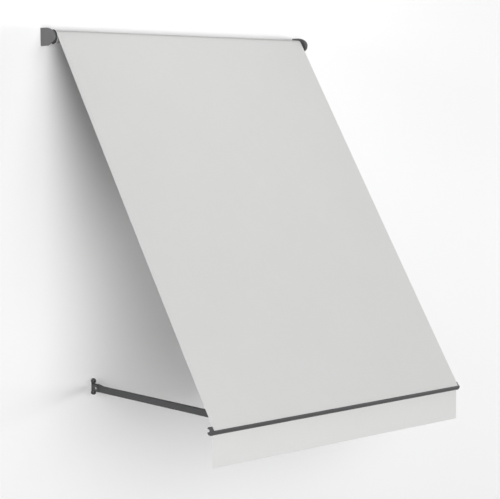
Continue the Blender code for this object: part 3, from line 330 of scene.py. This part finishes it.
def moulded_nylon(name, coat):
    """Glass-filled nylon, moulded: dark grey, with the fine grain of a spark-eroded tool."""
    material, tree, shader = shader_of(name, coat.plastic, 0.5)
    place = add(tree, "ShaderNodeTexCoord").outputs["Object"]
    # The grain is about 0.7 mm across
    grain = add(tree, "ShaderNodeTexNoise", {"Vector": place, "Scale": 1400.0, "Detail": 2.0})
    colour = add(tree, "ShaderNodeMix", {"Factor": grain.outputs["Fac"], "A": shade(coat.plastic, 0.85),
                                         "B": shade(coat.plastic, 1.15)}, data_type="RGBA")
    bump = add(tree, "ShaderNodeBump", {"Height": grain.outputs["Fac"], "Strength": 0.3, "Distance": 0.0001})
    tree.links.new(colour.outputs["Result"], shader.inputs["Base Color"])
    tree.links.new(bump.outputs["Normal"], shader.inputs["Normal"])
    return material


def welt_cord(name):
    """Extruded PVC welt cord: pale, smooth and slightly waxy."""
    base = linear("#CFCFCD")
    material, tree, shader = shader_of(name, base, 0.42)
    place = add(tree, "ShaderNodeTexCoord").outputs["Object"]
    # Cloudy patches about 8 mm across
    cloudy = add(tree, "ShaderNodeTexNoise", {"Vector": place, "Scale": 120.0, "Detail": 2.0})
    colour = add(tree, "ShaderNodeMix", {"Factor": cloudy.outputs["Fac"], "A": shade(base, 0.95),
                                         "B": shade(base, 1.04)}, data_type="RGBA")
    tree.links.new(colour.outputs["Result"], shader.inputs["Base Color"])
    return material


def sewing_thread(name, cloth):
    """Bonded polyester thread: a little brighter than the canvas, and twisted."""
    base = tuple(min(part * 1.04, 1.0) for part in cloth.colour)
    material, tree, shader = shader_of(name, base, 0.6)
    place = add(tree, "ShaderNodeTexCoord").outputs["Object"]
    # The twist comes round every 3 to 4 mm, about once a stitch
    twist = add(tree, "ShaderNodeTexWave", {"Vector": place, "Scale": 160.0}, bands_direction="DIAGONAL")
    colour = add(tree, "ShaderNodeMix", {"Factor": twist.outputs["Fac"], "A": shade(base, 0.9),
                                         "B": shade(base, 1.0)}, data_type="RGBA")
    tree.links.new(colour.outputs["Result"], shader.inputs["Base Color"])
    return material


def spaced(low, high, steps):
    """Evenly spaced numbers from low to high, both ends included."""
    return [low + (high - low) * step / steps for step in range(steps + 1)]


def made_object(edit, name):
    """Turn edited faces into an object in the scene."""
    mesh = bpy.data.meshes.new(name)
    edit.to_mesh(mesh)
    edit.free()
    piece = bpy.data.objects.new(name, mesh)
    bpy.context.scene.collection.objects.link(piece)
    return piece


def join_rings(edit, rings):
    """Join each ring of points to the next with faces, all the way round."""
    for ring, after in zip(rings, rings[1:]):
        for corner in range(len(ring)):
            beside = (corner + 1) % len(ring)
            edit.faces.new((ring[corner], ring[beside], after[beside], after[corner]))


def sheet_of_cloth(name, across, along, place, thickness):
    """A grid of cloth, with each point where place(u, v) puts it. The points keep u and v for the weave."""
    edit = bmesh.new()
    rows = [[edit.verts.new(place(u, v)) for u in across] for v in along]
    for lower, upper in zip(rows, rows[1:]):
        for corner in range(len(across) - 1):
            edit.faces.new((lower[corner], lower[corner + 1], upper[corner + 1], upper[corner]))
    piece = made_object(edit, name)
    flat = piece.data.attributes.new("flat_place", "FLOAT_VECTOR", "POINT")
    for entry, (v, u) in zip(flat.data, [(v, u) for v in along for u in across]):
        entry.vector = (u, v, 0.0)
    shell = piece.modifiers.new("Thickness", "SOLIDIFY")
    shell.thickness = thickness
    shell.offset = 0.0
    return settle(piece)


def settle(piece):
    """Apply a piece's modifiers and shade it smooth, but for its edges."""
    evaluated = piece.evaluated_get(bpy.context.evaluated_depsgraph_get())
    mesh = bpy.data.meshes.new_from_object(evaluated)
    piece.modifiers.clear()
    piece.data = mesh
    mesh.shade_smooth()
    mesh.set_sharp_from_angle(angle=math.radians(40))
    return piece


def stitches(name, line, pitch):
    """A row of lock stitches, each a short rounded bar. line holds each one's centre, way along and up."""
    edit = bmesh.new()
    for centre, along, up in line:
        beside = along.cross(up).normalized()
        rings = []
        for reach, swell in STITCH_OUTLINE:
            middle = centre + along * (reach * pitch)
            ring = []
            for side in range(STITCH_SIDES):
                angle = math.tau * side / STITCH_SIDES
                offset = beside * math.cos(angle) + up * math.sin(angle)
                ring.append(edit.verts.new(middle + offset * (STITCH_RADIUS * swell)))
            rings.append(ring)
        join_rings(edit, rings)
        edit.faces.new(rings[0][::-1])
        edit.faces.new(rings[-1])
    bmesh.ops.recalc_face_normals(edit, faces=edit.faces)
    piece = made_object(edit, name)
    piece.data.shade_smooth()
    return piece


def fold_of(cloth):
    """How far apart a hem's two layers lie, and the length of cloth in the bend between them."""
    layer = cloth.thickness * LAYER_GAP
    return layer, math.pi * layer / 2


def cover_place(u, v, cloth):
    """Where a point of the cover lies: u across, v down the slope. Beyond half the width it folds under."""
    half = cloth.width / 2
    layer, bend = fold_of(cloth)
    side = math.copysign(1.0, u)
    over = abs(u) - half
    if over <= 0:
        x, drop = u, 0.0
    elif over < bend:
        turn = over / bend * math.pi
        x = side * (half + layer / 2 * math.sin(turn))
        drop = layer / 2 * (1 - math.cos(turn))
    else:
        x = side * (half - (over - bend))
        drop = layer
    # The middle sags most, and the tight hems at the sides least
    share = v / COVER_LENGTH
    belly = cloth.sag * 4 * share * (1 - share) * (1 - HEM_HOLD * (x / half) ** 2)
    from_seam = abs(x) - (half - cloth.hem * SEAM_SHARE)
    seam = SEAM_DEPTH * math.exp(-(from_seam / SEAM_WIDTH) ** 2)
    return LEAVE + DOWN * v + Vector((x, 0.0, 0.0)) - NORMAL * (belly + drop + seam)


def fold_with_arms(piece):
    """The piece rides on the wall side: it is attached to the root body and given a mesh of its own."""
    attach(piece, "root")
    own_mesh(piece)


class AWNING_OT_cover(bpy.types.Operator):
    """Make the taut cover between the roll and the front bar, with folded side hems and their stitching"""

    bl_idname = "awning.cover"
    bl_label = "Cover"

    def execute(self, context):
        cloth = values()[0]
        half = cloth.width / 2
        bend = fold_of(cloth)[1]
        hem_end = half + bend + cloth.hem
        seam = half - cloth.hem * SEAM_SHARE
        # The lines of points stand close together beside the seam and the fold
        near, close = 0.002, 0.001
        middle = spaced(-seam + 2 * near, seam - 2 * near, 40)
        right = [seam - near, seam - close, seam, seam + close, seam + near, half - close, half]
        right += [half + bend * step / 4 for step in range(1, 4)]
        right += spaced(half + bend, hem_end, 4)
        across = [-u for u in reversed(right)] + middle + right
        # Each end stops 0.3 mm clear of the roll or the slot
        end_gap = 0.0003
        along = spaced(end_gap, COVER_LENGTH - end_gap, 60)
        piece = sheet_of_cloth("cover", across, along, lambda u, v: cover_place(u, v, cloth), cloth.thickness)
        piece.data.materials.append(woven_acrylic("woven acrylic canvas", cloth))

        # The rows of stitches stop a little more than two stitches short of each end
        skip = 2
        count = int(COVER_LENGTH / cloth.stitch) - 2 * skip
        line = []
        for side in (-1, 1):
            for step in range(count):
                distance = (step + skip + 0.5) * cloth.stitch
                centre = cover_place(side * seam, distance, cloth) + NORMAL * (cloth.thickness / 2)
                line.append((centre, DOWN, NORMAL))
        sewn = stitches("cover_stitching", line, cloth.stitch)
        sewn.data.materials.append(sewing_thread("bonded polyester thread", cloth))

        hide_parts("cloth_panel")
        fold_with_arms(piece)
        fold_with_arms(sewn)
        return {"FINISHED"}


class AWNING_OT_roll(bpy.types.Operator):
    """Make the last turns of cloth on the roller, wound as one spiral"""

    bl_idname = "awning.roll"
    bl_label = "Cloth on the roll"

    def execute(self, context):
        cloth = values()[0]
        wound = math.tau * ROLL_TURNS
        inner = WRAP_RADIUS - ROLL_PITCH * ROLL_TURNS

        def place(u, v):
            """u across, v the angle wound so far, from the tube outwards."""
            angle = LEAVE_ANGLE + wound - v
            radius = inner + ROLL_PITCH * v / math.tau
            out = Vector((0.0, -math.cos(angle), math.sin(angle)))
            return ROLL_CENTRE + Vector((u, 0.0, 0.0)) + out * radius

        across = spaced(-cloth.width / 2, cloth.width / 2, 16)
        along = spaced(0.0, wound, 240)
        piece = sheet_of_cloth("cloth_on_roll", across, along, place, cloth.thickness)
        # An angle times the middle radius is a length of cloth
        middle = inner + ROLL_PITCH * ROLL_TURNS / 2
        for entry in piece.data.attributes["flat_place"].data:
            entry.vector = (entry.vector[0], entry.vector[1] * middle, 0.0)
        piece.data.materials.append(bpy.data.materials["woven acrylic canvas"])
        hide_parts("cloth_roll")
        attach(piece, "roller")
        return {"FINISHED"}


class AWNING_OT_shade_discs(bpy.types.Operator):
    """Make a thin dark disc at each end of the roll, just past the cloth's edge: painted shade, standing in
    for the shadow between the bracket and the roll's end
    """

    bl_idname = "awning.guides"
    bl_label = "Roll end shade discs"

    def execute(self, context):
        cloth, coat, _ = values()
        # The disc's section: distance along the roller and radius, with rounded outer corners
        bevel = SHADE_DISC_EDGE * 0.3
        section = [(0.0, SHADE_DISC_INNER), (0.0, SHADE_DISC_OUTER - SHADE_DISC_EDGE), (bevel, SHADE_DISC_OUTER - bevel),
                   (SHADE_DISC_EDGE, SHADE_DISC_OUTER), (SHADE_DISC_THICK - SHADE_DISC_EDGE, SHADE_DISC_OUTER),
                   (SHADE_DISC_THICK - bevel, SHADE_DISC_OUTER - bevel), (SHADE_DISC_THICK, SHADE_DISC_OUTER - SHADE_DISC_EDGE),
                   (SHADE_DISC_THICK, SHADE_DISC_INNER)]
        # The discs' dark nylon is painted shade, standing in for the shadow at each end of the roll
        nylon = moulded_nylon("moulded nylon, painted roll end shade", coat)
        for name, side in (("left_roll_shade_disc", -1), ("right_roll_shade_disc", 1)):
            start = side * (cloth.width / 2 + SHADE_DISC_GAP)
            edit = bmesh.new()
            rings = []
            for step in range(SHADE_DISC_STEPS):
                angle = math.tau * step / SHADE_DISC_STEPS
                out = Vector((0.0, math.cos(angle), math.sin(angle)))
                rings.append([
                    edit.verts.new(ROLL_CENTRE + Vector((start + side * along, 0.0, 0.0)) + out * radius)
                    for along, radius in section])
            join_rings(edit, rings + rings[:1])
            bmesh.ops.recalc_face_normals(edit, faces=edit.faces)
            shade_disc = made_object(edit, name)
            shade_disc.data.shade_smooth()
            shade_disc.data.set_sharp_from_angle(angle=math.radians(50))
            shade_disc.data.materials.append(nylon)
            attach(shade_disc, "roller")
        return {"FINISHED"}


class AWNING_OT_valance(bpy.types.Operator):
    """Make the strip that hangs from the front bar, with its foot hem and stitching"""

    bl_idname = "awning.valance"
    bl_label = "Valance"

    def execute(self, context):
        cloth = values()[0]
        drop = VALANCE_SLOT.z - VALANCE_FOOT
        layer, bend = fold_of(cloth)

        def place(u, v):
            """u across, v down from the bar. Past the foot the cloth folds up behind."""
            over = v - drop + layer / 2
            if over <= 0:
                fall, back = v, 0.0
            elif over < bend:
                turn = over / bend * math.pi
                fall = drop - layer / 2 + layer / 2 * math.sin(turn)
                back = layer / 2 * (1 - math.cos(turn))
            else:
                fall = drop - layer / 2 - (over - bend)
                back = layer
            swing = sum(math.sin(u * rate + shift) * share for rate, shift, share in WAVES)
            swing *= (fall / drop) ** WAVE_GROWTH
            return VALANCE_SLOT + Vector((u, back + cloth.wave * swing, -fall))

        start = drop - layer / 2
        hem_end = start + bend + cloth.foot_hem
        # The lines of points stand close together beside the fold
        near = 0.002
        along = spaced(0.0, start - 2 * near, 14) + [start - near, start]
        along += [start + bend * step / 4 for step in range(1, 4)] + spaced(start + bend, hem_end, 3)
        across = spaced(-cloth.width / 2, cloth.width / 2, 90)
        piece = sheet_of_cloth("valance_cloth", across, along, place, cloth.thickness)
        piece.data.materials.append(bpy.data.materials["woven acrylic canvas"])

        side = Vector((1.0, 0.0, 0.0))
        front = Vector((0.0, -1.0, 0.0))
        seam = drop - cloth.foot_hem * SEAM_SHARE
        line = []
        for step in range(int(cloth.width / cloth.stitch) - 1):
            x = -cloth.width / 2 + (step + 1) * cloth.stitch
            line.append((place(x, seam) + front * (cloth.thickness / 2), side, front))
        sewn = stitches("valance_stitching", line, cloth.stitch)
        sewn.data.materials.append(bpy.data.materials["bonded polyester thread"])

        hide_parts("valance")
        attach(piece, "front_bar")
        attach(sewn, "front_bar")
        return {"FINISHED"}


class AWNING_OT_finishes(bpy.types.Operator):
    """Give every part of the CAD model the finish that its record names"""

    bl_idname = "awning.finishes"
    bl_label = "Metal and plastic finishes"

    def execute(self, context):
        coat = values()[1]
        finishes = {
            "grey_coat": powder_coat("matt powder coat, dark grey", coat.coat, coat),
            "bracket_coat": powder_coat("matt powder coat, mid grey", coat.bracket, coat),
            "zinc": plated_steel("zinc plated steel"),
            "mill_aluminium": extruded_aluminium("mill finish aluminium"),
            "dark_plastic": moulded_nylon("moulded nylon", coat),
            "keder": welt_cord("PVC welt cord"),
            "cloth": bpy.data.materials["woven acrylic canvas"],
        }
        for part in frame["record"]["subparts"]:
            node = frame["nodes"][part["node"]]
            if not node.material_slots:
                node.data.materials.append(None)
            for slot in node.material_slots:
                slot.material = finishes[part["material_slot"]]
        return {"FINISHED"}


def backdrop_material(stage):
    """Matt white emulsion on a smooth wall. Its back lets the camera see through."""
    material, tree, shader = shader_of("matt white emulsion", stage.wall, 0.9)
    shader.inputs["Specular IOR Level"].default_value = 0.1
    place = add(tree, "ShaderNodeTexCoord").outputs["Object"]
    # A paint roller leaves a grain about 4 mm across
    grain = add(tree, "ShaderNodeTexNoise", {"Vector": place, "Scale": 260.0, "Detail": 2.0})
    bump = add(tree, "ShaderNodeBump", {"Height": grain.outputs["Fac"], "Strength": 0.1, "Distance": 0.0005})
    tree.links.new(bump.outputs["Normal"], shader.inputs["Normal"])
    # Far below the awning the floor is past the lamps' reach, so it fades to plain white there
    fade_start, fade_end = -3.5, -7.0
    spot = add(tree, "ShaderNodeSeparateXYZ", {"Vector": place})
    depth = add(tree, "ShaderNodeMapRange", {"Value": spot.outputs["Z"], "From Min": fade_start,
                                             "From Max": fade_end})
    white = add(tree, "ShaderNodeEmission", {"Color": shade(stage.wall, 1.0)})
    faded = add(tree, "ShaderNodeMixShader", {0: depth.outputs["Result"], 1: shader.outputs["BSDF"],
                                              2: white.outputs["Emission"]})
    # The wall looks white to the camera and in reflections, and throws little light back behind the cloth
    path = add(tree, "ShaderNodeLightPath")
    dull = add(tree, "ShaderNodeBsdfDiffuse", {"Color": shade(stage.wall, stage.bounce)})
    seen = add(tree, "ShaderNodeMixShader", {0: path.outputs["Is Diffuse Ray"], 1: faded.outputs["Shader"],
                                             2: dull.outputs["BSDF"]})
    side = add(tree, "ShaderNodeNewGeometry")
    clear = add(tree, "ShaderNodeBsdfTransparent")
    both = add(tree, "ShaderNodeMixShader", {0: side.outputs["Backfacing"], 1: seen.outputs["Shader"],
                                             2: clear.outputs["BSDF"]})
    tree.links.new(both.outputs["Shader"], tree.nodes["Material Output"].inputs["Surface"])
    return material


class AWNING_OT_stage(bpy.types.Operator):
    """Make the pale wall and floor, the soft light and the camera"""

    bl_idname = "awning.stage"
    bl_label = "Wall, light and camera"

    def execute(self, context):
        stage = values()[2]
        scene = context.scene
        # The wall, just behind the brackets, turns into the floor through a wide curve
        wall_back, wall_top, half_width = 0.0006, 6.0, 9.0
        floor_level, floor_front = -9.0, -14.0
        cove, cove_steps = 1.0, 12
        profile = [(wall_back, wall_top), (wall_back, floor_level + cove)]
        for step in range(1, cove_steps + 1):
            angle = math.pi / 2 * step / cove_steps
            profile.append((wall_back - cove * (1 - math.cos(angle)),
                            floor_level + cove * (1 - math.sin(angle))))
        profile.append((floor_front, floor_level))
        edit = bmesh.new()
        ends = [[edit.verts.new((x, y, z)) for y, z in profile] for x in (-half_width, half_width)]
        for step in range(len(profile) - 1):
            edit.faces.new((ends[0][step], ends[0][step + 1], ends[1][step + 1], ends[1][step]))
        backdrop = made_object(edit, "backdrop")
        backdrop.data.shade_smooth()
        backdrop.data.materials.append(backdrop_material(stage))

        # The surround lights the object at the panel's strength. The camera and reflections see it as white.
        world = bpy.data.worlds.new("studio surround")
        world.use_nodes = True
        tree = world.node_tree
        path = add(tree, "ShaderNodeLightPath")
        shown = path.outputs["Is Camera Ray"]
        for other in ("Is Glossy Ray", "Is Transmission Ray"):
            either = add(tree, "ShaderNodeMath", {0: shown, 1: path.outputs[other]}, operation="MAXIMUM")
            shown = either.outputs["Value"]
        strength = add(tree, "ShaderNodeMapRange", {"Value": shown, "To Min": stage.sky, "To Max": 1.0})
        around = tree.nodes["Background"]
        around.inputs["Color"].default_value = shade((1.0, 1.0, 1.0), 0.96)
        tree.links.new(strength.outputs["Result"], around.inputs["Strength"])
        scene.world = world

        # Name, power, distance, diameter, degrees right of the front, and degrees above the level
        soft_lamps = (
            ("soft key", stage.key, 12.0, 8.7, -20.0, 0.0),
            ("right light", stage.right, 12.0, 5.1, 70.0, 0.0),
            ("left light", stage.left, 12.0, 3.4, -88.0, 5.0),
            ("high light", stage.high, 4.0, 2.1, 0.0, 60.0),
            ("low light", stage.low, 12.0, 6.4, -15.0, -40.0),
        )
        for name, power, distance, diameter, aside, above in soft_lamps:
            lamp = bpy.data.lights.new(name, "AREA")
            lamp.shape = "DISK"
            lamp.size = diameter
            lamp.energy = power
            light = bpy.data.objects.new(name, lamp)
            turn, rise = math.radians(aside), math.radians(above)
            way = Vector((math.sin(turn) * math.cos(rise), -math.cos(turn) * math.cos(rise), math.sin(rise)))
            light.location = AWNING_MIDDLE + way * distance
            light.rotation_euler = way.to_track_quat("Z", "Y").to_euler()
            light.visible_camera = False
            scene.collection.objects.link(light)

        lens = bpy.data.cameras.new("camera")
        lens.lens = stage.lens
        lens.sensor_width = 36.0
        lens.clip_end = 60.0
        camera = bpy.data.objects.new("camera", lens)
        right = Vector((math.cos(CAMERA_TURN), -math.sin(CAMERA_TURN), 0.0))
        level = Vector((math.sin(CAMERA_TURN), math.cos(CAMERA_TURN), 0.0))
        ahead = level * math.cos(CAMERA_DIP) - Vector((0.0, 0.0, math.sin(CAMERA_DIP)))
        axes = Matrix((right, right.cross(ahead), -ahead)).transposed()
        camera.matrix_world = Matrix.Translation(CAMERA_PLACE) @ axes.to_4x4()
        scene.collection.objects.link(camera)
        scene.camera = camera
        scene.view_settings.view_transform = "Standard"
        return {"FINISHED"}


class AWNING_PT_panel(bpy.types.Panel):
    """The awning's steps and values."""

    bl_idname = "AWNING_PT_panel"
    bl_label = "Fabric awning"
    bl_space_type = "VIEW_3D"
    bl_region_type = "UI"
    bl_category = "Awning"

    def draw(self, context):
        layout = self.layout
        for group in values():
            box = layout.box()
            for name in group.__annotations__:
                box.prop(group, name)
        for step in STEPS:
            layout.operator(step.bl_idname)


STEPS = (AWNING_OT_cover, AWNING_OT_roll, AWNING_OT_shade_discs,
         AWNING_OT_valance, AWNING_OT_finishes, AWNING_OT_stage)
GROUPS = {"awning_cloth": ClothValues, "awning_coat": CoatValues, "awning_stage": StageValues}


def register():
    """Register the values, the steps and the panel."""
    for kind in (*GROUPS.values(), *STEPS, AWNING_PT_panel):
        bpy.utils.register_class(kind)
    for name, kind in GROUPS.items():
        setattr(bpy.types.Scene, name, PointerProperty(type=kind))


def unregister():
    """Remove what register added."""
    for name in GROUPS:
        delattr(bpy.types.Scene, name)
    for kind in reversed((*GROUPS.values(), *STEPS, AWNING_PT_panel)):
        bpy.utils.unregister_class(kind)


def main():
    """Run every step."""
    register()
    bpy.ops.awning.cover()
    bpy.ops.awning.roll()
    bpy.ops.awning.guides()
    bpy.ops.awning.valance()
    bpy.ops.awning.finishes()
    bpy.ops.awning.stage()


if __name__ == "__main__":
    main()
